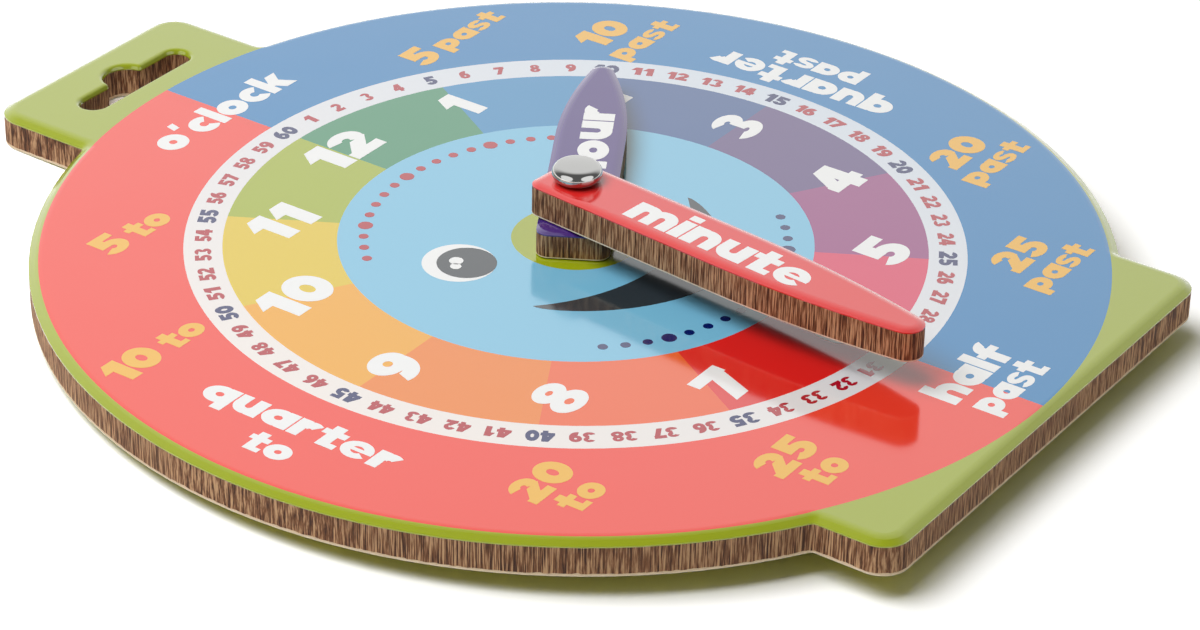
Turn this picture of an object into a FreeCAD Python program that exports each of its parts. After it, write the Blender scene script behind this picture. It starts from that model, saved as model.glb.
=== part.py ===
"""Teaching clock: a printed board with a hang tab and a foot, and two hands on one capped rivet.

Frame: millimetres, X to the right of the dial, Y from 6 towards 12, Z out of the dial.
The origin is on the pivot axis, on the flat of the rear cap, which is the lowest face.
"""

import FreeCAD, Part
import math
import os
import Sketcher

SIZES = {
    # the board
    "board_radius": 107,
    "board_core_thickness": 6.8,
    "board_corner_root": 1.2,
    "board_roll_width": 1.9,
    "board_roll_depth": 1.1,
    "board_roll_blend": 3,
    "foot_width": 116,
    "foot_offset": 1.4,
    "foot_drop": 0.2,
    "foot_corner": 5.5,
    "tab_width": 57.4,
    "tab_offset": 0,
    "tab_rise": 21.5,
    "tab_corner": 6.5,
    # the hang slot in the tab
    "slot_width": 32,
    "slot_wing_height": 5.8,
    "slot_height": 10.2,
    "slot_bump_width": 9.6,
    "slot_bump_root": 0.95,
    "slot_margin": 7.4,
    "slot_roll_width": 0.9,
    "slot_roll_depth": 0.5,
    "slot_roll_blend": 1,
    # the hands
    "hand_corner": 2.5,
    "hand_roll_width": 1.2,
    "hand_roll_depth": 0.5,
    "hand_roll_blend": 3,
    "hour_core_thickness": 5.1,
    "hour_width": 14.5,
    "hour_tail": 9.2,
    "hour_shoulder": 31.5,
    "hour_length": 63.8,
    "hour_tip_radius": 2.4,
    "hour_angle": 60,
    "minute_core_thickness": 6.2,
    "minute_width": 14.2,
    "minute_tail": 6.8,
    "minute_shoulder": 38.5,
    "minute_length": 83.6,
    "minute_tip_radius": 3.4,
    "minute_angle": 185.6,
    # cover paper, washers and the gaps that let the hands turn
    "paper_thickness": 0.25,
    "slip_washer_radius": 6,
    "slip_washer_thickness": 0.2,
    "rear_washer_radius": 8,
    "rear_washer_thickness": 0.8,
    "side_gap": 0.05,
    "end_gap": 0.05,
    # the two-piece rivet and its crimped caps
    "tube_radius": 2.5,
    "tube_wall": 0.8,
    "pin_gap": 0.02,
    "pin_lead": 0.4,
    "pin_end_gap": 1.5,
    "flange_thickness": 0.7,
    "cap_wall": 0.35,
    "cap_lip_gap": 0.5,
    "front_cap_radius": 5,
    "front_cap_height": 3.9,
    "front_cap_side": 1.8,
    "rear_cap_radius": 6,
    "rear_cap_height": 2.2,
}

# Every piece's layer from the rear cap forwards, each with the cell or cells that set its thickness.
LAYERS = [
    ("rear_cap", "rear_cap_height"),
    ("rear_washer", "rear_washer_thickness"),
    ("back_sheet", "paper_thickness"),
    ("board_core", "board_core_thickness"),
    ("dial_sheet", "paper_thickness"),
    ("dial_washer", "slip_washer_thickness"),
    ("hour_rear_gap", "end_gap"),
    ("hour_back_sheet", "paper_thickness"),
    ("hour_core", "hour_core_thickness"),
    ("hour_face_sheet", "paper_thickness"),
    ("hour_front_gap", "end_gap"),
    ("hands_washer", "slip_washer_thickness"),
    ("minute_rear_gap", "end_gap"),
    ("minute_back_sheet", "paper_thickness"),
    ("minute_core", "minute_core_thickness"),
    ("minute_face_sheet", "paper_thickness"),
    ("minute_front_gap", "end_gap"),
    ("front_cap", "front_cap_height"),
]

doc = FreeCAD.newDocument("teaching_clock")
sheet = doc.addObject("Spreadsheet::Sheet", "sizes")
for row, (name, size) in enumerate(SIZES.items(), 1):
    sheet.set(f"A{row}", name)
    sheet.set(f"B{row}", str(size))
    sheet.setAlias(f"B{row}", name)
doc.recompute()

floor = {}
height = "0"
for layer, thickness in LAYERS:
    floor[layer] = height
    height = f"{height} + sizes.{thickness}"


def value(expression):
    """The number that an expression over the sheet gives."""
    return float(sheet.evalExpression(expression.replace("sizes.", "")))


def new_body(label, floor_height, angle="0"):
    """A body that lies at floor_height and is turned clockwise from 12 by angle."""
    body = doc.addObject("PartDesign::Body", label)
    body.Label = label
    body.setExpression("Placement.Base.z", floor_height)
    body.setExpression("Placement.Rotation.Angle", f"-({angle})")
    return body


def new_sketch(body, name, role="XY_Plane"):
    """An empty sketch on one of the body's own origin planes."""
    sketch = body.newObject("Sketcher::SketchObject", name)
    plane = next(item for item in body.Origin.OriginFeatures if item.Role == role)
    sketch.AttachmentSupport = [(plane, "")]
    sketch.MapMode = "FlatFace"
    return sketch


def bind(sketch, kind, *reference, to):
    """Adds a dimension to the sketch and binds it to an expression."""
    index = sketch.addConstraint(Sketcher.Constraint(kind, *reference, value(to)))
    sketch.setExpression(f"Constraints[{index}]", to)


def tie(sketch, kind, *reference):
    sketch.addConstraint(Sketcher.Constraint(kind, *reference))


def locate(sketch, item, point, across, up):
    """Places a point of a sketch item by its two distances from the origin."""
    if across == "0":
        tie(sketch, "PointOnObject", item, point, -2)
    else:
        bind(sketch, "DistanceX", -1, 1, item, point, to=across)
    if up == "0":
        tie(sketch, "PointOnObject", item, point, -1)
    else:
        bind(sketch, "DistanceY", -1, 1, item, point, to=up)


def polygon(sketch, corners):
    """A closed outline of straight lines; each corner is a pair of expressions."""
    points = [FreeCAD.Vector(value(across), value(up), 0) for across, up in corners]
    following = points[1:] + points[:1]
    sketch.addGeometry([Part.LineSegment(a, b) for a, b in zip(points, following)], False)
    for item, (across, up) in enumerate(corners):
        tie(sketch, "Coincident", item - 1 if item else len(corners) - 1, 2, item, 1)
        locate(sketch, item, 1, across, up)


def circle(sketch, radius):
    """A circle about the origin, added to what the sketch holds."""
    item = sketch.addGeometry(Part.Circle(FreeCAD.Vector(), FreeCAD.Vector(0, 0, 1), value(radius)), False)
    tie(sketch, "Coincident", item, 3, -1, 1)
    bind(sketch, "Radius", item, to=radius)


def arc(across, up, radius, start, end):
    """An arc about (across, up) between two angles in degrees, run anticlockwise."""
    whole = Part.Circle(FreeCAD.Vector(across, up, 0), FreeCAD.Vector(0, 0, 1), radius)
    return Part.ArcOfCircle(whole, math.radians(start), math.radians(end))


def line(x1, y1, x2, y2):
    return Part.LineSegment(FreeCAD.Vector(x1, y1, 0), FreeCAD.Vector(x2, y2, 0))


def pad(body, sketch, length):
    feature = body.newObject("PartDesign::Pad", f"{sketch.Name}_pad")
    feature.Profile = sketch
    feature.setExpression("Length", length)
    feature.Refine = True
    sketch.Visibility = False


def pocket(body, sketch):
    """Cuts a sketch on the body's floor right through it, and proves that it cut something."""
    doc.recompute()
    before = body.Shape.Volume
    feature = body.newObject("PartDesign::Pocket", f"{sketch.Name}_pocket")
    feature.Profile = sketch
    feature.Type = "ThroughAll"
    feature.Reversed = True
    doc.recompute()
    if body.Shape.Volume > before - 0.1:
        raise RuntimeError(f"{sketch.Name} cuts nothing from {body.Label}")


def revolve(body, sketch):
    """Turns a sketch on the XZ plane about the body's own Z axis."""
    feature = body.newObject("PartDesign::Revolution", f"{sketch.Name}_turned")
    feature.Profile = sketch
    feature.ReferenceAxis = (sketch, ["V_Axis"])
    feature.Angle = 360


def round_uprights(body, places, radius):
    """Rounds the edges that stand upright at the given (x, y) expressions."""
    doc.recompute()
    spots = [(value(across), value(up)) for across, up in places]
    base = body.Tip
    shape = base.Shape
    names = []
    for number, edge in enumerate(shape.Edges, 1):
        box = edge.BoundBox
        upright = box.XLength < 0.01 and box.YLength < 0.01
        if upright and any(math.dist(spot, (box.Center.x, box.Center.y)) < 0.01 for spot in spots):
            names.append(f"Edge{number}")
    if len(names) != len(spots):
        raise RuntimeError(f"{body.Label}: {len(names)} of {len(spots)} upright edges found")
    feature = body.newObject("PartDesign::Fillet", "Rounding")
    feature.Base = (base, names)
    feature.setExpression("Radius", radius)


def top_rim(shape, area):
    """The names of the edges in the shape's highest plane, all of them or those inside an area."""
    top = shape.BoundBox.ZMax
    names = []
    for number, edge in enumerate(shape.Edges, 1):
        box = edge.BoundBox
        if box.ZMin > top - 0.001 and (area is None or area.isInside(box.Center)):
            names.append(f"Edge{number}")
    return names


def roll_rim(body, name, area=None):
    """The die presses the face's rim down: a wide shallow bevel that runs softly into the flat."""
    doc.recompute()
    bevel = body.newObject("PartDesign::Chamfer", "Roll")
    bevel.Base = (bevel.BaseFeature, top_rim(bevel.BaseFeature.Shape, area))
    bevel.ChamferType = "Two distances"
    bevel.setExpression("Size", f"sizes.{name}_roll_depth")
    bevel.setExpression("Size2", f"sizes.{name}_roll_width")
    doc.recompute()
    soft = body.newObject("PartDesign::Fillet", "Roll_blend")
    soft.Base = (bevel, top_rim(bevel.Shape, area))
    soft.setExpression("Radius", f"sizes.{name}_roll_blend")
    doc.recompute()


BORE = "sizes.tube_radius + sizes.side_gap"


def pivot_bore(body):
    sketch = new_sketch(body, "Bore")
    circle(sketch, BORE)
    pocket(body, sketch)


def slot(body, rolled):
    """The hang slot: a wide wing with round ends, and a round-topped bump in its middle."""
    low = "sizes.board_radius + sizes.tab_rise - sizes.slot_margin - sizes.slot_height"
    wing_radius = "sizes.slot_wing_height / 2"
    bump_radius = "sizes.slot_bump_width / 2"
    end = f"sizes.slot_width / 2 - {wing_radius}"
    middle = f"{low} + {wing_radius}"
    crown = f"{low} + sizes.slot_height - {bump_radius}"
    right, left = f"sizes.tab_offset + {end}", f"sizes.tab_offset - ({end})"
    x1, x2, y, r = value(left), value(right), value(middle), value(wing_radius)

    wing = new_sketch(body, "Slot_wing")
    wing.addGeometry(
        [line(x1, y - r, x2, y - r), arc(x2, y, r, -90, 90), line(x2, y + r, x1, y + r), arc(x1, y, r, 90, 270)],
        False,
    )
    for item in range(4):
        tie(wing, "Tangent", item, 2, (item + 1) % 4, 1)
    tie(wing, "Equal", 1, 3)
    tie(wing, "Horizontal", 0)
    bind(wing, "Radius", 1, to=wing_radius)
    bind(wing, "DistanceX", -1, 1, 1, 3, to=right)
    bind(wing, "DistanceX", 3, 3, 1, 3, to=f"2 * ({end})")
    bind(wing, "DistanceY", -1, 1, 1, 3, to=middle)
    pocket(body, wing)

    at, w, top = value("sizes.tab_offset"), value(bump_radius), value(crown)
    bump = new_sketch(body, "Slot_bump")
    bump.addGeometry(
        [line(at - w, y, at + w, y), line(at + w, y, at + w, top), arc(at, top, w, 0, 180), line(at - w, top, at - w, y)],
        False,
    )
    tie(bump, "Coincident", 0, 2, 1, 1)
    tie(bump, "Tangent", 1, 2, 2, 1)
    tie(bump, "Tangent", 2, 2, 3, 1)
    tie(bump, "Coincident", 3, 2, 0, 1)
    tie(bump, "Horizontal", 0)
    tie(bump, "Vertical", 1)
    tie(bump, "Vertical", 3)
    bind(bump, "Radius", 2, to=bump_radius)
    bind(bump, "DistanceY", -1, 1, 0, 1, to=middle)
    bind(bump, "DistanceX", -1, 1, 2, 3, to="sizes.tab_offset")
    bind(bump, "DistanceY", -1, 1, 2, 3, to=crown)
    pocket(body, bump)

    # The bump's side meets the wing's top on the bump's arc where the arc starts below that line.
    wing_top = f"{middle} + {wing_radius}"
    side = f"sqrt(({bump_radius}) ^ 2 - max({wing_top} - ({crown}); 0) ^ 2)"
    corners = [(f"sizes.tab_offset - {side}", wing_top), (f"sizes.tab_offset + {side}", wing_top)]
    round_uprights(body, corners, "sizes.slot_bump_root")

    if rolled:
        around = value("sizes.slot_roll_width + sizes.slot_roll_blend")
        reach = value("sizes.slot_width / 2") + around
        bottom, crest = value(low) - around, value(f"{low} + sizes.slot_height") + around
        roll_rim(body, "slot", FreeCAD.BoundBox(at - reach, bottom, -reach, at + reach, crest, reach))


def board(label, floor_height, thickness, rolled):
    """The board's outline at one layer: a disc with a foot at 6, a tab at 12, the slot and the bore."""
    body = new_body(label, floor_height)
    disc = new_sketch(body, "Disc")
    circle(disc, "sizes.board_radius")
    pad(body, disc, thickness)

    for name, side, edge in (
        ("foot", "-", "-(sizes.board_radius + sizes.foot_drop)"),
        ("tab", "", "sizes.board_radius + sizes.tab_rise"),
    ):
        left = f"(sizes.{name}_offset - sizes.{name}_width / 2)"
        right = f"(sizes.{name}_offset + sizes.{name}_width / 2)"
        sketch = new_sketch(body, name.capitalize())
        polygon(sketch, [(left, "0"), (left, edge), (right, edge), (right, "0")])
        pad(body, sketch, thickness)
        roots = [(at, f"{side}sqrt(sizes.board_radius ^ 2 - {at} ^ 2)") for at in (left, right)]
        round_uprights(body, [(left, edge), (right, edge)], f"sizes.{name}_corner")
        round_uprights(body, roots, "sizes.board_corner_root")
    if rolled:
        roll_rim(body, "board")
    slot(body, rolled)
    pivot_bore(body)
    return body


def hand(label, name, floor_height, thickness, rolled):
    """A hand's outline at one layer: a square tail, straight sides and an ogive that ends in a round tip."""
    body = new_body(label, floor_height, f"sizes.{name}_angle")
    half = f"sizes.{name}_width / 2"
    tip = f"sizes.{name}_length - sizes.{name}_tip_radius"
    w, tail, shoulder = value(half), value(f"sizes.{name}_tail"), value(f"sizes.{name}_shoulder")
    r, centre = value(f"sizes.{name}_tip_radius"), value(tip)
    # The ogive's radius makes it tangent to the straight side at the shoulder and to the tip's circle.
    reach = centre - shoulder
    ogive = (reach**2 + w**2 - r**2) / (2 * (w - r))
    turn = math.degrees(math.atan2(reach, ogive - w))

    outline = new_sketch(body, "Outline")
    outline.addGeometry(
        [
            line(-w, -tail, w, -tail),
            line(w, -tail, w, shoulder),
            arc(w - ogive, shoulder, ogive, 0, turn),
            arc(0, centre, r, turn, 180 - turn),
            arc(ogive - w, shoulder, ogive, 180 - turn, 180),
            line(-w, shoulder, -w, -tail),
        ],
        False,
    )
    tie(outline, "Coincident", 0, 2, 1, 1)
    for item in range(1, 5):
        tie(outline, "Tangent", item, 2, item + 1, 1)
    tie(outline, "Coincident", 5, 2, 0, 1)
    tie(outline, "Vertical", 1)
    tie(outline, "Vertical", 5)
    tie(outline, "Symmetric", 0, 1, 0, 2, -2)
    tie(outline, "PointOnObject", 3, 3, -2)
    tie(outline, "Equal", 2, 4)
    bind(outline, "Radius", 3, to=f"sizes.{name}_tip_radius")
    bind(outline, "DistanceY", -1, 1, 3, 3, to=tip)
    bind(outline, "DistanceY", -1, 1, 1, 2, to=f"sizes.{name}_shoulder")
    bind(outline, "DistanceX", 0, 1, 0, 2, to=f"sizes.{name}_width")
    bind(outline, "DistanceY", -1, 1, 0, 1, to=f"-sizes.{name}_tail")
    pad(body, outline, thickness)
    back = f"-sizes.{name}_tail"
    round_uprights(body, [(f"-{half}", back), (half, back)], "sizes.hand_corner")
    if rolled:
        roll_rim(body, "hand")
    pivot_bore(body)
    return body


def face_sheet(label, core, raised):
    """The cover paper over a rolled face: the core's own form raised by the paper, less the core."""
    cut = doc.addObject("Part::Cut", label)
    cut.Label = label
    cut.Base = raised
    cut.Tool = core
    cut.Refine = False
    return cut


def washer(label, radius, thickness):
    body = new_body(label, floor[label])
    ring = new_sketch(body, "Ring")
    circle(ring, radius)
    circle(ring, BORE)
    pad(body, ring, thickness)
    return body


def rivet_tube():
    """The rear half of the rivet: the flange sits in the rear cap, and the hands turn on the tube."""
    body = new_body("rivet_tube", "0")
    inside = "sizes.tube_radius - sizes.tube_wall"
    flange = "sizes.rear_cap_radius - sizes.rear_cap_height / 2"
    seat = "sizes.rear_cap_height - sizes.cap_wall"
    under = f"{seat} - sizes.flange_thickness"
    end = f"{floor['front_cap']} + sizes.cap_wall"
    sketch = new_sketch(body, "Tube_half", "XZ_Plane")
    polygon(
        sketch,
        [
            (inside, under),
            (flange, under),
            (flange, seat),
            ("sizes.tube_radius", seat),
            ("sizes.tube_radius", end),
            (inside, end),
        ],
    )
    revolve(body, sketch)
    return body


def rivet_pin():
    """The front half of the rivet: its flange sits in the front cap, on the tube's end."""
    body = new_body("rivet_pin", "0")
    radius = "sizes.tube_radius - sizes.tube_wall - sizes.pin_gap"
    flange = "sizes.front_cap_radius - sizes.front_cap_side"
    seat = f"{floor['front_cap']} + sizes.cap_wall"
    over = f"{seat} + sizes.flange_thickness"
    tip = "sizes.rear_cap_height + sizes.pin_end_gap"
    sketch = new_sketch(body, "Pin_half", "XZ_Plane")
    polygon(
        sketch,
        [
            ("0", tip),
            (f"{radius} - sizes.pin_lead", tip),
            (radius, f"{tip} + sizes.pin_lead"),
            (radius, seat),
            (flange, seat),
            (flange, over),
            ("0", over),
        ],
    )
    revolve(body, sketch)
    return body


CAP_LIP = "sizes.tube_radius + sizes.cap_lip_gap"


def rear_cap():
    """A flat cap with a full-round side. Its hollow holds the tube's flange under the crimped lip."""
    body = new_body("rear_cap", floor["rear_cap"])
    side = "sizes.rear_cap_height / 2"
    centre = f"sizes.rear_cap_radius - {side}"
    x, r, wall, lip = value(centre), value(side), value("sizes.cap_wall"), value(CAP_LIP)
    sketch = new_sketch(body, "Cap_half", "XZ_Plane")
    sketch.addGeometry(
        [
            line(0, 0, x, 0),
            arc(x, r, r, -90, 90),
            line(x, 2 * r, lip, 2 * r),
            line(lip, 2 * r, lip, 2 * r - wall),
            line(lip, 2 * r - wall, x, 2 * r - wall),
            line(x, 2 * r - wall, x, wall),
            line(x, wall, 0, wall),
            line(0, wall, 0, 0),
        ],
        False,
    )
    tie(sketch, "Coincident", 0, 1, -1, 1)
    tie(sketch, "Tangent", 0, 2, 1, 1)
    tie(sketch, "Tangent", 1, 2, 2, 1)
    for item in range(2, 8):
        tie(sketch, "Coincident", item, 2, (item + 1) % 8, 1)
    for item in (0, 2, 4, 6):
        tie(sketch, "Horizontal", item)
    for item in (3, 5, 7):
        tie(sketch, "Vertical", item)
    bind(sketch, "Radius", 1, to=side)
    bind(sketch, "DistanceX", -1, 1, 1, 3, to=centre)
    bind(sketch, "DistanceX", -1, 1, 3, 1, to=CAP_LIP)
    bind(sketch, "DistanceX", -1, 1, 5, 1, to=centre)
    bind(sketch, "DistanceY", -1, 1, 3, 2, to="sizes.rear_cap_height - sizes.cap_wall")
    bind(sketch, "DistanceY", -1, 1, 7, 1, to="sizes.cap_wall")
    revolve(body, sketch)
    return body


def front_cap():
    """A domed cap: a tight side arc runs into a wide crown arc, and its lip goes under the pin's flange."""
    body = new_body("front_cap", floor["front_cap"])
    side = "sizes.front_cap_side"
    centre = f"sizes.front_cap_radius - {side}"
    inner_side = f"2 * {side} - sizes.cap_wall"
    inner_top = "sizes.front_cap_height - sizes.cap_wall"
    x, r, wall, lip = value(centre), value(side), value("sizes.cap_wall"), value(CAP_LIP)
    top = value("sizes.front_cap_height")
    # The crown arc is centred on the axis and tangent to the side arc from outside.
    rise = top - r
    crown = (x**2 + rise**2 - r**2) / (2 * (rise - r))
    turn = math.degrees(math.atan2(crown - rise, x))
    sketch = new_sketch(body, "Cap_half", "XZ_Plane")
    sketch.addGeometry(
        [
            line(lip, 0, x, 0),
            arc(x, r, r, -90, turn),
            arc(0, top - crown, crown, turn, 90),
            line(0, top, 0, top - wall),
            line(0, top - wall, x, 2 * r - wall),
            line(x, 2 * r - wall, x, wall),
            line(x, wall, lip, wall),
            line(lip, wall, lip, 0),
        ],
        False,
    )
    tie(sketch, "Tangent", 0, 2, 1, 1)
    tie(sketch, "Tangent", 1, 2, 2, 1)
    for item in range(2, 8):
        tie(sketch, "Coincident", item, 2, (item + 1) % 8, 1)
    tie(sketch, "PointOnObject", 0, 1, -1)
    for item in (0, 6):
        tie(sketch, "Horizontal", item)
    for item in (3, 5, 7):
        tie(sketch, "Vertical", item)
    tie(sketch, "PointOnObject", 2, 2, -2)
    tie(sketch, "PointOnObject", 2, 3, -2)
    bind(sketch, "Radius", 1, to=side)
    bind(sketch, "DistanceX", -1, 1, 1, 3, to=centre)
    bind(sketch, "DistanceY", -1, 1, 2, 2, to="sizes.front_cap_height")
    bind(sketch, "DistanceY", -1, 1, 3, 2, to=inner_top)
    bind(sketch, "DistanceX", -1, 1, 5, 1, to=centre)
    bind(sketch, "DistanceY", -1, 1, 5, 1, to=inner_side)
    bind(sketch, "DistanceY", -1, 1, 5, 2, to="sizes.cap_wall")
    bind(sketch, "DistanceX", -1, 1, 7, 1, to=CAP_LIP)
    revolve(body, sketch)
    return body


def check(item):
    """Stops the build on a failed object or an empty or broken shape."""
    if "Invalid" in item.State or "Error" in item.State:
        raise RuntimeError(f"{item.Label} failed: {item.State}")
    shape = getattr(item, "Shape", None)
    if shape is not None and (shape.isNull() or not shape.isValid()):
        raise RuntimeError(f"{item.Label} has no valid shape")


BOARD_CORE = "sizes.board_core_thickness"
PAPER = "sizes.paper_thickness"

board_core = board("board_core", floor["board_core"], BOARD_CORE, rolled=True)
board_raised = board("board_raised", f"{floor['board_core']} + {PAPER}", BOARD_CORE, rolled=True)
pieces = [
    board_core,
    face_sheet("dial_sheet", board_core, board_raised),
    board("back_sheet", floor["back_sheet"], PAPER, rolled=False),
]
for name in ("hour", "minute"):
    core_floor, thickness = floor[f"{name}_core"], f"sizes.{name}_core_thickness"
    core = hand(f"{name}_core", name, core_floor, thickness, rolled=True)
    raised = hand(f"{name}_raised", name, f"{core_floor} + {PAPER}", thickness, rolled=True)
    pieces += [
        core,
        face_sheet(f"{name}_face_sheet", core, raised),
        hand(f"{name}_back_sheet", name, floor[f"{name}_back_sheet"], PAPER, rolled=False),
    ]
pieces += [
    washer("rear_washer", "sizes.rear_washer_radius", "sizes.rear_washer_thickness"),
    washer("dial_washer", "sizes.slip_washer_radius", "sizes.slip_washer_thickness"),
    washer("hands_washer", "sizes.slip_washer_radius", "sizes.slip_washer_thickness"),
    rivet_tube(),
    rivet_pin(),
    rear_cap(),
    front_cap(),
]
doc.recompute()

for item in doc.Objects:
    check(item)
os.makedirs("parts", exist_ok=True)
for piece in pieces:
    piece.Shape.exportStep(os.path.join("parts", f"{piece.Label}.step"))
    box = piece.Shape.BoundBox
    print(f"{piece.Label:20s} z {box.ZMin:7.3f} to {box.ZMax:7.3f}  volume {piece.Shape.Volume:10.1f}")
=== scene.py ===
"""A teaching clock: a printed fibre-board dial with a hang tab and a foot, and two hands on a capped rivet.

The frame brings every solid. This script gives each its finish, prints the dial and the hands, and sets the
table and the lights. Lengths are in metres and angles in degrees, unless a name says otherwise.
"""

import math

import bmesh
import bpy
from mathutils import Matrix, Vector


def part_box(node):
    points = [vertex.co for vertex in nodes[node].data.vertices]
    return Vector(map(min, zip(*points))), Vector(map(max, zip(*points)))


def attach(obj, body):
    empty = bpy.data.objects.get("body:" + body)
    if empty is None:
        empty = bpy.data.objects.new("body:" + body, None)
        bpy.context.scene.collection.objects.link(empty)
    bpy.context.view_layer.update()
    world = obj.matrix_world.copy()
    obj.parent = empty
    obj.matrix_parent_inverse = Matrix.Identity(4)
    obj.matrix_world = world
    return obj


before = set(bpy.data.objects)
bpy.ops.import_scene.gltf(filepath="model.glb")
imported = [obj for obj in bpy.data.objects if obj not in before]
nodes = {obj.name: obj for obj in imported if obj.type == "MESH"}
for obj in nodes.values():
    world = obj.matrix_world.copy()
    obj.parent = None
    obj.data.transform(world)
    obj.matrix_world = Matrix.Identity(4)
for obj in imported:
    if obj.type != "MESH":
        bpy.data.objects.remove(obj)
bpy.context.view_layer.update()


# ---- Camera ----
# It stands past the 8 of the dial and looks down across it, with the tab far to the left.

camera_place = (-0.55068, -0.38060, 0.39021)
camera_turn = (59.287, -1.012, -55.18)
camera_lens_mm = 117.15
camera_sensor_mm = 36

camera = bpy.data.objects.new("camera", bpy.data.cameras.new("camera"))
bpy.context.collection.objects.link(camera)
camera.location = camera_place
camera.rotation_euler = [math.radians(turn) for turn in camera_turn]
camera.data.lens = camera_lens_mm
camera.data.sensor_width = camera_sensor_mm
bpy.context.scene.camera = camera


# ---- Fibre board ----
# The board and both hands are die-cut from pressed brown fibre board. The blade crushes the cut edge, so its
# fibres stand upright in dark and tan streaks, coarse in some stretches and fine in others.

board_dark = (56, 30, 20)
board_brown = (132, 86, 56)
board_tan = (206, 164, 124)
streaks_per_metre = 3600
strands_per_metre = 1900
stretches_per_metre = 26
streak_stretch = 0.04
strand_stretch = 0.1
streak_relief = 0.0003
board_roughness = 0.8

# Below this height the cut edge is a ragged line of torn cream paper.
rag_cream = (232, 206, 172)
rag_height = 0.00355
rag_depth = 0.0006
rags_per_metre = 700


def colour(red, green, blue):
    """A shade written in screen values from 0 to 255, as the linear colour that a shader takes."""
    shades = [part / 255 for part in (red, green, blue)]
    return [s / 12.92 if s <= 0.04045 else ((s + 0.055) / 1.055) ** 2.4 for s in shades] + [1]


def place(tree, kind, settings=None, feeds=None):
    """Adds a node, sets its options, and gives each named input a value or another node's output."""
    node = tree.nodes.new(kind)
    for name, value in (settings or {}).items():
        setattr(node, name, value)
    for name, value in (feeds or {}).items():
        if isinstance(value, bpy.types.NodeSocket):
            tree.links.new(value, node.inputs[name])
        else:
            node.inputs[name].default_value = value
    return node


def calc(tree, operation, *values):
    """A sum of one, two or three values."""
    node = place(tree, "ShaderNodeMath", {"operation": operation}, dict(enumerate(values)))
    return node.outputs[0]


def over(tree, mask, below, above):
    """One colour laid over another where the mask is 1."""
    node = place(tree, "ShaderNodeMix", {"data_type": "RGBA"}, {0: mask, 6: below, 7: above})
    return node.outputs[2]


def ramp(tree, value, stops, interpolation="LINEAR"):
    """A colour for each stretch of a value from 0 to 1; stops are (position, colour)."""
    node = place(tree, "ShaderNodeValToRGB", None, {"Fac": value})
    scale = node.color_ramp
    scale.interpolation = interpolation
    while len(scale.elements) < len(stops):
        scale.elements.new(1)
    for element, (position, shade) in zip(scale.elements, stops):
        element.position = position
        element.color = shade
    return node.outputs["Color"]


def noise(tree, vector, per_metre, detail=2, roughness=0.5):
    feeds = {"Vector": vector, "Scale": per_metre, "Detail": detail, "Roughness": roughness}
    return place(tree, "ShaderNodeTexNoise", None, feeds).outputs["Fac"]


def finish(name):
    """A new material: its tree, its surface shader and its object coordinates."""
    material = bpy.data.materials.new(name)
    material.use_nodes = True
    tree = material.node_tree
    spot = place(tree, "ShaderNodeTexCoord").outputs["Object"]
    return material, tree, tree.nodes["Principled BSDF"], spot


def dress(material, *names):
    for name in names:
        nodes[name].data.materials.clear()
        nodes[name].data.materials.append(material)


fibre, tree, surface, spot = finish("fibre_board")
upright = place(tree, "ShaderNodeMapping", None, {"Vector": spot, "Scale": (1, 1, streak_stretch)})
leaning = place(tree, "ShaderNodeMapping", None, {"Vector": spot, "Scale": (1, 1, strand_stretch)})
streaks = noise(tree, upright.outputs[0], streaks_per_metre, 3, 0.6)
strands = noise(tree, leaning.outputs[0], strands_per_metre, 3, 0.7)
stretches = noise(tree, spot, stretches_per_metre, 1)
stretch_mask = ramp(tree, stretches, [(0.44, (0.15, 0.15, 0.15, 1)), (0.56, (0.85, 0.85, 0.85, 1))])
mixed = over(tree, stretch_mask, streaks, strands)
edge_colour = ramp(
    tree, mixed, [(0.39, colour(*board_dark)), (0.49, colour(*board_brown)), (0.58, colour(*board_tan))]
)
low = place(tree, "ShaderNodeSeparateXYZ", None, {0: spot}).outputs["Z"]
rags = noise(tree, spot, rags_per_metre, 2)
ragged = calc(tree, "MULTIPLY_ADD", rags, rag_depth, rag_height - rag_depth / 2)
edge_colour = over(tree, calc(tree, "LESS_THAN", low, ragged), edge_colour, colour(*rag_cream))
tree.links.new(edge_colour, surface.inputs["Base Color"])
relief = place(tree, "ShaderNodeBump", None, {"Height": mixed, "Distance": streak_relief, "Strength": 0.6})
tree.links.new(relief.outputs[0], surface.inputs["Normal"])
surface.inputs["Roughness"].default_value = board_roughness
dress(fibre, "board_core", "hour_core", "minute_core")


# ---- Gloss film ----
# Every printed face is laminated with clear film: nearly flat, with the slight waves of the glue beneath and
# faint smears where hands have been.

waves_per_metre = 35
grain_per_metre = 900
grain_share = 0.02
film_relief = 0.0001
smears_per_metre = 18
film_roughness = 0.07
smear_roughness = 0.08
coat_roughness = 0.12

film = bpy.data.node_groups.new("gloss_film", "ShaderNodeTree")
film.interface.new_socket("Vector", in_out="INPUT", socket_type="NodeSocketVector")
film.interface.new_socket("Waves", in_out="INPUT", socket_type="NodeSocketFloat")
film.interface.new_socket("Roughness", in_out="OUTPUT", socket_type="NodeSocketFloat")
film.interface.new_socket("Normal", in_out="OUTPUT", socket_type="NodeSocketVector")
inlet = film.nodes.new("NodeGroupInput")
outlet = film.nodes.new("NodeGroupOutput")
glue_waves = noise(film, inlet.outputs["Vector"], waves_per_metre, 2)
grain = noise(film, inlet.outputs["Vector"], grain_per_metre, 2)
height = calc(film, "MULTIPLY_ADD", grain, grain_share, glue_waves)
depth = calc(film, "MULTIPLY", inlet.outputs["Waves"], height)
bump = place(film, "ShaderNodeBump", None, {"Height": depth, "Distance": film_relief, "Strength": 1.0})
smears = noise(film, inlet.outputs["Vector"], smears_per_metre, 3)
haze = calc(film, "MULTIPLY_ADD", smears, smear_roughness, film_roughness)
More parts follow.
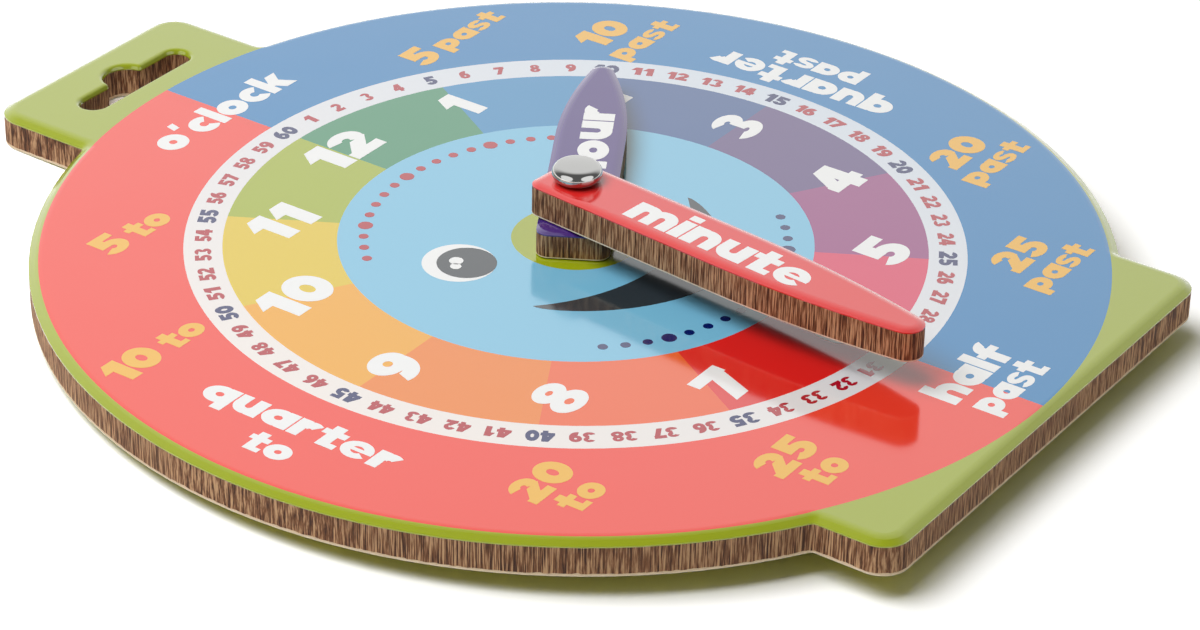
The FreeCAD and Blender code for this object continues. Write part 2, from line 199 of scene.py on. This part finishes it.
film.links.new(haze, outlet.inputs["Roughness"])
film.links.new(bump.outputs[0], outlet.inputs["Normal"])


def laminate(tree, surface, spot, print_colour, waves=1.0):
    """Puts a print under the gloss film."""
    if isinstance(print_colour, bpy.types.NodeSocket):
        tree.links.new(print_colour, surface.inputs["Base Color"])
    else:
        surface.inputs["Base Color"].default_value = print_colour
    skin = place(tree, "ShaderNodeGroup", {"node_tree": film}, {"Vector": spot, "Waves": waves})
    tree.links.new(skin.outputs["Roughness"], surface.inputs["Roughness"])
    tree.links.new(skin.outputs["Normal"], surface.inputs["Normal"])
    tree.links.new(skin.outputs["Normal"], surface.inputs["Coat Normal"])
    surface.inputs["Coat Weight"].default_value = 1
    surface.inputs["Coat Roughness"].default_value = coat_roughness


# ---- Dial sheet ----
# Printed cover paper on the board's face: a lime board, a disc that is red before the hour and blue after
# it, a white minute ring, twelve hour sectors, a light-blue face and a lime nose. The white ring carries
# painted shade: light and warm at the 9 o'clock side, darker and cooler towards 3 o'clock.

disc_radius = 0.1051
ring_radius = 0.077
sector_radius = 0.0694
face_radius = 0.047
nose_radius = 0.0128

lime = colour(158, 171, 14)
to_red = colour(238, 60, 40)
past_blue = colour(8, 124, 184)
ring_lit_warm = colour(238, 230, 226)
ring_shaded_cool = colour(212, 220, 232)
face_blue = colour(122, 190, 222)
sector_colours = [
    (56, 140, 100),
    (48, 138, 190),
    (56, 92, 148),
    (98, 76, 130),
    (152, 64, 128),
    (218, 52, 96),
    (224, 34, 30),
    (236, 96, 36),
    (234, 128, 20),
    (236, 166, 14),
    (222, 192, 16),
    (162, 176, 22),
]

dial, tree, surface, spot = finish("dial_print")
axes = place(tree, "ShaderNodeSeparateXYZ", None, {0: spot})
across, up = axes.outputs["X"], axes.outputs["Y"]
flat = place(tree, "ShaderNodeVectorMath", {"operation": "MULTIPLY"}, {0: spot, 1: (1, 1, 0)}).outputs[0]
radius = place(tree, "ShaderNodeVectorMath", {"operation": "LENGTH"}, {0: flat}).outputs["Value"]
turn = calc(tree, "FRACT", calc(tree, "DIVIDE", calc(tree, "ARCTAN2", across, up), math.tau))
sectors = ramp(
    tree, turn, [(hour / 12, colour(*shade)) for hour, shade in enumerate(sector_colours)], "CONSTANT"
)
halves = over(tree, calc(tree, "GREATER_THAN", across, 0), to_red, past_blue)
printed = over(tree, calc(tree, "LESS_THAN", radius, disc_radius), lime, halves)
# Painted shade on the white ring: lighter and warmer at the 9 o'clock side, fading to darker and cooler
# towards 3 o'clock.
ring_painted_falloff = over(tree, calc(tree, "MULTIPLY_ADD", across, 0.5 / ring_radius, 0.5), ring_lit_warm, ring_shaded_cool)
printed = over(tree, calc(tree, "LESS_THAN", radius, ring_radius), printed, ring_painted_falloff)
printed = over(tree, calc(tree, "LESS_THAN", radius, sector_radius), printed, sectors)
printed = over(tree, calc(tree, "LESS_THAN", radius, face_radius), printed, face_blue)
printed = over(tree, calc(tree, "LESS_THAN", radius, nose_radius), printed, lime)
laminate(tree, surface, spot, printed)
dress(dial, "dial_sheet")


# ---- Back sheets ----
# Plain paper glued to the backs: olive on the board, and on the hands a dark brown that is painted shade,
# standing for the shade under the hands. The cut edge of each shows as a thin cream line under the brown
# board. Each row is its main colour, its darker clouds and its scuffs.

cut_paper = colour(250, 238, 218)
cut_paper_dark = colour(228, 204, 172)
paper_relief = 0.00005
paper_roughness = 0.45
fibre_roughness = 0.3
fibres_per_metre = 1200
clouds_per_metre = 90
scuffs_per_metre = 160

for name, shade, deep, rubbed, sheets in (
    ("back_paper", (182, 174, 20), (160, 152, 14), (204, 196, 92), ["back_sheet"]),
    # The hands' dark brown is painted shade: it stands for the shade under the hands.
    ("hand_back_paper", (62, 35, 28), (46, 25, 20), (104, 78, 66), ["hour_back_sheet", "minute_back_sheet"]),
):
    back, tree, surface, spot = finish(name)
    facing = place(tree, "ShaderNodeNewGeometry").outputs["Normal"]
    upward = calc(tree, "ABSOLUTE", place(tree, "ShaderNodeSeparateXYZ", None, {0: facing}).outputs["Z"])
    fibres = noise(tree, spot, fibres_per_metre, 2)
    edge = over(tree, fibres, cut_paper, cut_paper_dark)
    clouds = noise(tree, spot, clouds_per_metre, 5, 0.65)
    clouds = ramp(tree, clouds, [(0.35, colour(*deep)), (0.6, colour(*shade))])
    scuffs = noise(tree, spot, scuffs_per_metre, 8, 0.75)
    scuffs = ramp(tree, scuffs, [(0.6, (0, 0, 0, 1)), (0.78, (1, 1, 1, 1))])
    face = over(tree, scuffs, clouds, colour(*rubbed))
    paper = over(tree, calc(tree, "LESS_THAN", upward, 0.5), face, edge)
    tree.links.new(paper, surface.inputs["Base Color"])
    matt = calc(tree, "MULTIPLY_ADD", fibres, fibre_roughness, paper_roughness)
    tree.links.new(matt, surface.inputs["Roughness"])
    feeds = {"Height": fibres, "Distance": paper_relief, "Strength": 0.5}
    relief = place(tree, "ShaderNodeBump", None, feeds)
    tree.links.new(relief.outputs[0], surface.inputs["Normal"])
    dress(back, *sheets)


# ---- Lettering ----
# Very heavy plain letters and numbers with square ends and small round counters, printed on the dial.
# Each ink is one thin layer on the sheet.

ink_thickness = 0.00002
ink_step = 0.0000008
stroke_levels = 12
dial_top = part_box("dial_sheet")[1].z

# A glyph is a list of strokes. Its unit, and that of the gap between letters, is a small letter's height.
# Four numbers are a box from corner to corner. Five are a slanted bar: the middle of its foot, the middle
# of its head, and its width. Eight are an arc: centre, outer radii, inner radii, and the angles it runs
# between.
letter_gap = 0.05
bowl = (0.54, 0.5, 0.54, 0.5, 0.14, 0.13, 0, 360)
arch = (0.54, 0.5, 0.5, 0.5, 0.12, 0.13, 0, 180)
glyphs = {
    "o": [bowl],
    "c": [(0.54, 0.5, 0.54, 0.5, 0.16, 0.15, 46, 314)],
    "e": [(0.54, 0.5, 0.54, 0.5, 0.21, 0.21, 0, 320), (0.2, 0.42, 1.07, 0.59)],
    "a": [bowl, (0.69, 0, 1.09, 1)],
    "q": [bowl, (0.69, -0.3, 1.09, 1)],
    "p": [bowl, (0, -0.3, 0.4, 1)],
    "l": [(0, 0, 0.4, 1.34)],
    "i": [(0, 0, 0.4, 1), (0, 1.1, 0.4, 1.38)],
    "h": [(0, 0, 0.42, 1.34), arch, (0.66, 0, 1.04, 0.5)],
    "n": [(0, 0, 0.42, 1), arch, (0.66, 0, 1.04, 0.5)],
    "m": [
        (0, 0, 0.38, 1),
        (0.48, 0.5, 0.46, 0.5, 0.1, 0.13, 0, 180),
        (0.58, 0, 0.94, 0.6),
        (1.04, 0.5, 0.48, 0.5, 0.1, 0.13, 0, 180),
        (1.14, 0, 1.52, 0.5),
    ],
    "u": [(0, 0.5, 0.38, 1), (0.5, 0.5, 0.5, 0.5, 0.12, 0.13, 180, 360), (0.62, 0, 1.02, 1)],
    "r": [(0, 0, 0.4, 1), (0.54, 0.42, 0.5, 0.58, 0.1, 0.18, 55, 150)],
    "k": [(0, 0, 0.4, 1.34), (0.46, 0.34, 0.9, 1, 0.48), (0.92, 0, 0.54, 0.64, 0.5)],
    "s": [(0.46, 0.69, 0.46, 0.31, 0.13, 0.06, 22, 270), (0.44, 0.31, 0.46, 0.31, 0.13, 0.06, -158, 90)],
    "t": [(0.2, 0, 0.6, 1.26), (0, 0.68, 0.86, 0.98), (0.3, 0, 0.86, 0.27)],
    "f": [(0.18, 0, 0.58, 0.96), (0.62, 0.94, 0.44, 0.4, 0.04, 0.08, 68, 180), (0, 0.62, 0.86, 0.92)],
    "'": [(0.12, 0.98, 0.2, 1.36, 0.27)],
    "0": [(0.44, 0.5, 0.44, 0.5, 0.12, 0.17, 0, 360)],
    "1": [(0.24, 0, 0.6, 1), (0.12, 0.62, 0.36, 1, 0.3)],
    "2": [(0.4, 0.68, 0.4, 0.32, 0.09, 0.07, -42, 168), (0.24, 0.2, 0.6, 0.58, 0.42), (0, 0, 0.8, 0.27)],
    "3": [(0.37, 0.73, 0.38, 0.27, 0.08, 0.05, -90, 160), (0.37, 0.28, 0.42, 0.28, 0.1, 0.05, -160, 90)],
    "4": [(0.44, 0, 0.78, 1), (0, 0.19, 0.9, 0.45), (0.17, 0.4, 0.52, 1, 0.34)],
    "5": [(0.1, 0.75, 0.76, 1), (0.08, 0.42, 0.4, 1), (0.38, 0.34, 0.42, 0.34, 0.1, 0.08, -156, 120)],
    "6": [(0.42, 0.34, 0.42, 0.34, 0.1, 0.09, 0, 360), (0.5, 0.5, 0.5, 0.5, 0.16, 0.2, 72, 190)],
    "7": [(0, 0.72, 0.8, 1), (0.28, 0, 0.6, 0.8, 0.36)],
    "8": [(0.42, 0.73, 0.37, 0.27, 0.09, 0.06, 0, 360), (0.42, 0.29, 0.42, 0.29, 0.11, 0.08, 0, 360)],
    "9": [(0.42, 0.66, 0.42, 0.34, 0.1, 0.09, 0, 360), (0.34, 0.5, 0.5, 0.5, 0.16, 0.2, -108, 10)],
}


def stations(stroke, segments):
    """The pairs of side points along a stroke, and whether it closes on itself."""
    if len(stroke) == 4:
        x1, y1, x2, y2 = stroke
        return [((x1, y1), (x2, y1)), ((x1, y2), (x2, y2))], False
    if len(stroke) == 5:
        x1, y1, x2, y2, width = stroke
        half = width / 2
        return [((x1 - half, y1), (x1 + half, y1)), ((x2 - half, y2), (x2 + half, y2))], False
    x, y, outer_x, outer_y, inner_x, inner_y, start, end = stroke
    closed = end - start == 360
    steps = max(4, round(segments * (end - start) / 360))
    pairs = []
    for step in range(steps if closed else steps + 1):
        angle = math.radians(start + (end - start) * step / steps)
        across, up = math.cos(angle), math.sin(angle)
        pairs.append(((x + outer_x * across, y + outer_y * up), (x + inner_x * across, y + inner_y * up)))
    return pairs, closed


def lay_stroke(form, pairs, closed, shift, level):
    """Adds one stroke as a closed flat bar. Crossing strokes have their own levels, so no two faces meet."""
    low, high = -0.5 * ink_thickness, 0.5 * ink_thickness + level * ink_step
    rings = []
    for (x1, y1), (x2, y2) in pairs:
        corners = ((x1, y1, low), (x2, y2, low), (x2, y2, high), (x1, y1, high))
        rings.append([form.verts.new((x + shift, y, z)) for x, y, z in corners])
    for ring, following in zip(rings, rings[1:] + rings[:1] if closed else rings[1:]):
        for side in range(4):
            other = (side + 1) % 4
            form.faces.new((ring[side], ring[other], following[other], following[side]))
    if not closed:
        form.faces.new(rings[0])
        form.faces.new(rings[-1])


def word_mesh(word, width, height, segments=40):
    """A word as closed flat bars, centred on the origin and fitted to a width and a height."""
    form = bmesh.new()
    shift = 0
    level = 0
    for letter in word:
        strokes = [stations(stroke, segments) for stroke in glyphs[letter]]
        reach = [point[0] for pairs, closed in strokes for pair in pairs for point in pair]
        for pairs, closed in strokes:
            lay_stroke(form, pairs, closed, shift - min(reach), level % stroke_levels)
            level += 1
        shift += max(reach) - min(reach) + letter_gap
    bmesh.ops.recalc_face_normals(form, faces=form.faces)
    mesh = bpy.data.meshes.new("word")
    form.to_mesh(mesh)
    form.free()
    corners = [vertex.co for vertex in mesh.vertices]
    low = Vector([min(corner[axis] for corner in corners) for axis in range(2)] + [0])
    high = Vector([max(corner[axis] for corner in corners) for axis in range(2)] + [0])
    size = high - low
    mesh.transform(Matrix.Translation(-(low + high) / 2))
    mesh.transform(Matrix.Diagonal((width / size.x, height / size.y, 1, 1)))
    return mesh


def ink(name, rgb):
    material, tree, surface, spot = finish(name)
    laminate(tree, surface, spot, colour(*rgb))
    return material


def print_layer(name, meshes, material, body):
    """Joins placed meshes into one printed layer that moves with a body."""
    form = bmesh.new()
    for mesh in meshes:
        form.from_mesh(mesh)
        bpy.data.meshes.remove(mesh)
    bmesh.ops.remove_doubles(form, verts=form.verts, dist=1e-7)
    joined = bpy.data.meshes.new(name)
    form.to_mesh(joined)
    form.free()
    joined.materials.append(material)
    layer = bpy.data.objects.new(name, joined)
    bpy.context.collection.objects.link(layer)
    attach(layer, body)
    return layer


def put(mesh, x, y, turned=0, top=dial_top):
    """Lays a mesh on a printed face, turned anticlockwise."""
    mesh.transform(Matrix.Rotation(math.radians(turned), 4, "Z"))
    mesh.transform(Matrix.Translation((x, y, top + ink_thickness / 2)))
    return mesh


white_ink = ink("white_ink", (237, 237, 238))
yellow_ink = ink("yellow_ink", (236, 178, 40))
navy_ink = ink("navy_ink", (2, 22, 96))
red_ink = ink("red_ink", (176, 18, 40))
grey_ink = ink("grey_ink", (46, 54, 60))

# Hour numerals stand upright in their own sectors: (x, y, width), all in millimetres.
hour_height = 0.0104
hour_spots = [
    (31.0, 51.5, 5.8),
    (51.5, 29.8, 9.0),
    (58.2, 0.0, 8.8),
    (51.2, -28.8, 9.4),
    (31.5, -51.7, 8.8),
    (0.5, -60.0, 8.8),
    (-28.6, -53.4, 8.6),
    (-50.6, -31.9, 9.0),
    (-60.0, -1.0, 8.8),
    (-50.7, 30.0, 16.6),
    (-30.0, 50.3, 13.4),
    (0.8, 59.2, 17.1),
]
numerals = []
for hour, (x, y, width) in enumerate(hour_spots, 1):
    numerals.append(put(word_mesh(str(hour), width / 1000, hour_height), x / 1000, y / 1000))
print_layer("hour_numerals", numerals, white_ink, "board")

# Minute numbers stand round the white ring with their tops outward; every fifth is navy.
minute_radius = 0.0732
minute_height = 0.0033
one_digit_width = 0.0022
two_digit_width = 0.0048
five_growth = 1.12
fives, others = [], []
for minute in range(1, 61):
    angle = math.radians(6 * minute)
    width = one_digit_width if minute < 10 else two_digit_width
    growth = 1 if minute % 5 else five_growth
    mesh = word_mesh(str(minute), width * growth, minute_height * growth, segments=20)
    x, y = minute_radius * math.sin(angle), minute_radius * math.cos(angle)
    (others if minute % 5 else fives).append(put(mesh, x, y, -6 * minute))
print_layer("minute_numbers_red", others, red_ink, "board")
print_layer("minute_numbers_navy", fives, navy_ink, "board")

# Words for telling the time: (word, x, y, width, height, turned), all in millimetres and degrees.
white_words = [
    ("o'clock", -0.3, 90.2, 40.2, 8.5, 0),
    ("quarter", 83.6, 0, 44.0, 9.4, 90),
    ("past", 91.4, 0.5, 20.8, 7.7, 90),
    ("half", 1.8, -88.0, 22.6, 8.1, 0),
    ("past", 2.1, -97.4, 20.6, 7.9, 0),
    ("quarter", -86.8, 0.3, 44.0, 8.7, -90),
    ("to", -95.1, 0.4, 10.2, 6.2, -90),
]
yellow_words = [
    ("5", 44.3, 71.9, 6.8, 8.0, 0),
    ("past", 60.3, 70.6, 20.8, 7.0, 0),
    ("10", 76.7, 47.0, 13.2, 7.9, 0),
    ("past", 79.4, 37.6, 21.0, 7.0, 0),
    ("20", 76.2, -42.5, 14.4, 7.7, 0),
    ("past", 76.4, -51.5, 21.0, 7.0, 0),
    ("25", 46.5, -73.8, 13.4, 7.6, 0),
    ("past", 46.4, -82.9, 20.8, 7.2, 0),
    ("25", -42.7, -76.1, 13.4, 7.6, 0),
    ("to", -42.3, -84.2, 9.8, 6.3, 0),
    ("20", -75.3, -45.5, 13.6, 7.5, 0),
    ("to", -75.0, -53.8, 10.0, 6.2, 0),
    ("10", -88.2, 38.9, 12.6, 7.6, 0),
    ("to", -74.5, 38.5, 10.0, 5.9, 0),
    ("5", -56.7, 71.7, 6.6, 7.6, 0),
    ("to", -46.1, 71.2, 10.2, 6.1, 0),
]
for name, rows, material in (
    ("words_white", white_words, white_ink),
    ("words_yellow", yellow_words, yellow_ink),
):
    placed = []
    for word, x, y, width, height, turned in rows:
        placed.append(put(word_mesh(word, width / 1000, height / 1000), x / 1000, y / 1000, turned))
    print_layer(name, placed, material, "board")


# ---- Face ----
# A plain smiling face printed in the middle of the dial. A dot for each minute runs round it, red over the
# eyes and navy under the smile, and each fifth dot is larger.

dot_ring = 0.0418
dot_radius = 0.0010
five_dot_radius = 0.0015
dot_reach = 8
disc_segments = 72


def disc(radius, x, y, level=0):
    """A thin round patch of ink; a higher level lies on a lower one."""
    form = bmesh.new()
    lift = Matrix.Translation((x, y, dial_top + ink_thickness * (level + 0.5)))
    bmesh.ops.create_cone(
        form,
        cap_ends=True,
        segments=disc_segments,
        radius1=radius,
        radius2=radius,
        depth=ink_thickness,
        matrix=lift,
    )
    mesh = bpy.data.meshes.new("disc")
    form.to_mesh(mesh)
    form.free()
    return mesh


for name, middle, material in (("dots_red", 0, red_ink), ("dots_navy", 30, navy_ink)):
    dots = []
    for minute in range(middle - dot_reach, middle + dot_reach + 1):
        angle = math.radians(6 * minute)
        size = dot_radius if minute % 5 else five_dot_radius
        dots.append(disc(size, dot_ring * math.sin(angle), dot_ring * math.cos(angle)))
    print_layer(name, dots, material, "board")

# Round eyes, each with a pupil that looks down to the right and two small glints: (x, y, radius) from its
# pupil's middle.
eye_place = (0.0218, 0.0125)
eye_radius = 0.0073
pupil_radius = 0.0059
pupil_shift = (0.0009, -0.0012)
glint_spots = ((-0.0006, 0.0021, 0.0014), (-0.0024, 0.0009, 0.0011))

sides = (-1, 1)
whites = [disc(eye_radius, side * eye_place[0], eye_place[1]) for side in sides]
pupils = []
glints = []
for side in sides:
    x, y = side * eye_place[0] + pupil_shift[0], eye_place[1] + pupil_shift[1]
    pupils.append(disc(pupil_radius, x, y, 1))
    glints += [disc(size, x + along, y + above, 2) for along, above, size in glint_spots]
print_layer("eye_whites", whites, white_ink, "board")
print_layer("eye_pupils", pupils, grey_ink, "board")
print_layer("eye_glints", glints, white_ink, "board")

# The smile's upper edge is an arc through its two tips and its middle, and it tapers to the tips.
smile_tip = (0.0268, -0.0085)
smile_middle = -0.0194
smile_depth = 0.0124
smile_taper = 1.2
smile_steps = 48
smile_end = 0.995

smile_rise = smile_tip[1] - smile_middle
smile_arc = (smile_tip[0] ** 2 + smile_rise**2) / (2 * smile_rise)
form = bmesh.new()
pairs = []
for step in range(smile_steps + 1):
    share = smile_end * math.sin(math.pi * (step / smile_steps - 0.5))
    across = smile_tip[0] * share
    above = smile_middle + smile_arc - math.sqrt(smile_arc**2 - across**2)
    below = above - smile_depth * math.sqrt(1 - abs(share) ** smile_taper)
    pairs.append(((across, below), (across, above)))
lay_stroke(form, pairs, False, 0, 0)
bmesh.ops.recalc_face_normals(form, faces=form.faces)
smile = bpy.data.meshes.new("smile")
form.to_mesh(smile)
form.free()
print_layer("smile", [put(smile, 0, 0)], grey_ink, "board")


# ---- Hands ----
# Each hand is a strip of the same board under its own printed sheet, with its name in white.

# At rest the hands point this far clockwise from 12.
hour_angle = 60
minute_angle = 185.6

hand_purple = (70, 40, 122)
hand_red = (224, 40, 38)
hand_waves = 0.8

# Each name runs outward along its hand: (name, sheet's colour, angle, start, end, height).
for name, rgb, angle, start, end, height in (
    ("hour", hand_purple, hour_angle, 0.0130, 0.0450, 0.0086),
    ("minute", hand_red, minute_angle, 0.0152, 0.0580, 0.0090),
):
    sheet, tree, surface, spot = finish(f"{name}_print")
    laminate(tree, surface, spot, colour(*rgb), hand_waves)
    dress(sheet, f"{name}_face_sheet")
    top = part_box(f"{name}_face_sheet")[1].z
    along = math.radians(90 - angle)
    middle = (start + end) / 2
    mesh = word_mesh(name, end - start, height)
    put(mesh, middle * math.cos(along), middle * math.sin(along), 90 - angle, top)
    print_layer(f"{name}_word", [mesh], white_ink, f"{name}_hand")


# ---- Rivet ----
# Two chromed caps crimped on a steel rivet, with a plated washer behind the board and two thin washers of
# clear film between the dial and the hands.

chrome_shade = (180, 180, 178)
chrome_rubs_per_metre = 420
steel_shade = (176, 176, 180)
steel_marks_per_metre = 700
washer_clear = (232, 232, 228)
washer_hazed = (204, 206, 202)
washer_haze_per_metre = 900

chrome, tree, surface, spot = finish("chrome")
surface.inputs["Base Color"].default_value = colour(*chrome_shade)
surface.inputs["Metallic"].default_value = 1
rubbed = noise(tree, spot, chrome_rubs_per_metre, 3)
tree.links.new(calc(tree, "MULTIPLY_ADD", rubbed, 0.08, 0.02), surface.inputs["Roughness"])
dress(chrome, "front_cap", "rear_cap")

steel, tree, surface, spot = finish("steel")
surface.inputs["Base Color"].default_value = colour(*steel_shade)
surface.inputs["Metallic"].default_value = 1
brushed = noise(tree, spot, steel_marks_per_metre, 3)
tree.links.new(calc(tree, "MULTIPLY_ADD", brushed, 0.2, 0.2), surface.inputs["Roughness"])
dress(steel, "rivet_tube", "rivet_pin", "rear_washer")

slip, tree, surface, spot = finish("slip_film")
haze = noise(tree, spot, washer_haze_per_metre, 3)
clouded = over(tree, haze, colour(*washer_clear), colour(*washer_hazed))
tree.links.new(clouded, surface.inputs["Base Color"])
tree.links.new(calc(tree, "MULTIPLY_ADD", haze, 0.25, 0.32), surface.inputs["Roughness"])
dress(slip, "dial_washer", "hands_washer")


# ---- Table and light ----
# The clock lies on its back on a white table: on its tab's end and on the rear cap, so the foot is lifted.
# The table is tilted to the clock, because the clock keeps the frame's own level.

table_size = 4.0
table_roughness = 0.9
table_shade = (0.9, 0.9, 0.9, 1)
table_shade_seen = (1.3, 1.3, 1.32, 1)
shadow_reach = 0.22

# The clock rests on the rear cap where its flat ends, this far from the pivot.
flat_reach = 0.0049
tab_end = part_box("back_sheet")[1].y
board_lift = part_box("back_sheet")[0].z
table_tilt = math.atan2(board_lift, tab_end - flat_reach)

form = bmesh.new()
bmesh.ops.create_grid(form, x_segments=1, y_segments=1, size=table_size / 2)
hinge = Vector((0, flat_reach, 0))
bmesh.ops.rotate(form, verts=form.verts, cent=hinge, matrix=Matrix.Rotation(table_tilt, 3, "X"))
mesh = bpy.data.meshes.new("table")
form.to_mesh(mesh)
form.free()
table = bpy.data.objects.new("table", mesh)
bpy.context.collection.objects.link(table)

# Seen directly or in a mirror, the table is white away from the clock's shadow.
white, tree, surface, spot = finish("table_white")
surface.inputs["Roughness"].default_value = table_roughness
surface.inputs["Specular IOR Level"].default_value = 0.0
surface.inputs["Emission Color"].default_value = (1, 1, 1, 1)
rays = place(tree, "ShaderNodeLightPath")
seen = rays.outputs["Is Camera Ray"]
for kind in ("Is Glossy Ray", "Is Transmission Ray"):
    seen = calc(tree, "MAXIMUM", seen, rays.outputs[kind])
distance = place(tree, "ShaderNodeVectorMath", {"operation": "LENGTH"}, {0: spot}).outputs["Value"]
feeds = {"Value": distance, "From Min": shadow_reach, "From Max": 3 * shadow_reach}
far = place(tree, "ShaderNodeMapRange", {"interpolation_type": "SMOOTHSTEP"}, feeds).outputs["Result"]
tree.links.new(calc(tree, "MULTIPLY", seen, far), surface.inputs["Emission Strength"])
tree.links.new(over(tree, seen, table_shade, table_shade_seen), surface.inputs["Base Color"])
table.data.materials.append(white)

# A broad lamp high up behind the clock's left side. The glossy parts mirror the room instead.
lamp_place = Vector((-0.38, 0.32, 1.03))
lamp_size = 0.9
lamp_watts = 14.2
lamp_tint = (0.965, 0.97, 1)

lamp = bpy.data.objects.new("key", bpy.data.lights.new("key", "AREA"))
bpy.context.collection.objects.link(lamp)
lamp.data.shape = "RECTANGLE"
lamp.data.size = lamp_size
lamp.data.size_y = lamp_size
lamp.data.energy = lamp_watts
lamp.data.color = lamp_tint
lamp.visible_glossy = False
lamp.location = lamp_place
lamp.rotation_euler = (-lamp_place).to_track_quat("-Z", "Y").to_euler()

# The room: a bright wall behind that the gloss film mirrors, two bright panes in front that show only in the
# rivet's cap, and a dim ceiling. Each spread is two cosines of the angle from the middle: the light's outer
# edge and its full strength. What the room sheds on matt surfaces is slightly yellow.
wall_middle = (0.79, 0.53, 0.31)
wall_spread = (0.25, 0.85)
wall_dark = 0.18
wall_bright = 1.22
pane_middles = ((-1.0, 0.27, 0.45), (-0.09, -1.04, 0.45))
pane_spread = (0.86, 0.9)
pane_bright = 1.5
ceiling_dark = 0.05
ceiling_rise = 0.17
shed_tint = (1, 0.98, 0.66, 1)
plain = (1, 1, 1, 1)

world = bpy.data.worlds.new("studio")
bpy.context.scene.world = world
world.use_nodes = True
tree = world.node_tree
background = tree.nodes["Background"]
rays = place(tree, "ShaderNodeLightPath")
seen = calc(tree, "MAXIMUM", rays.outputs["Is Camera Ray"], rays.outputs["Is Transmission Ray"])
mirrored = rays.outputs["Is Glossy Ray"]
towards = place(tree, "ShaderNodeTexCoord").outputs["Generated"]


def glow(middle, spread, dark, bright):
    """Light that grows from dark to bright towards one side of the room."""
    middle = Vector(middle).normalized()
    facing = place(tree, "ShaderNodeVectorMath", {"operation": "DOT_PRODUCT"}, {0: towards, 1: middle})
    feeds = {"Value": facing.outputs["Value"], "From Min": spread[0], "From Max": spread[1]}
    feeds.update({"To Min": dark, "To Max": bright})
    return place(tree, "ShaderNodeMapRange", {"interpolation_type": "SMOOTHSTEP"}, feeds).outputs["Result"]


wall = glow(wall_middle, wall_spread, wall_dark, wall_bright)
for pane in pane_middles:
    wall = calc(tree, "MAXIMUM", wall, glow(pane, pane_spread, 0, pane_bright))
height = place(tree, "ShaderNodeSeparateXYZ", None, {0: towards}).outputs["Z"]
ceiling = calc(tree, "MULTIPLY_ADD", calc(tree, "MAXIMUM", height, 0), ceiling_rise, ceiling_dark)
shed = calc(tree, "MULTIPLY_ADD", mirrored, calc(tree, "SUBTRACT", wall, ceiling), ceiling)
level = calc(tree, "MAXIMUM", shed, seen)
tree.links.new(level, background.inputs["Strength"])
direct = calc(tree, "MAXIMUM", seen, mirrored)
tree.links.new(over(tree, direct, shed_tint, plain), background.inputs["Color"])

bpy.context.scene.view_settings.view_transform = "Standard"
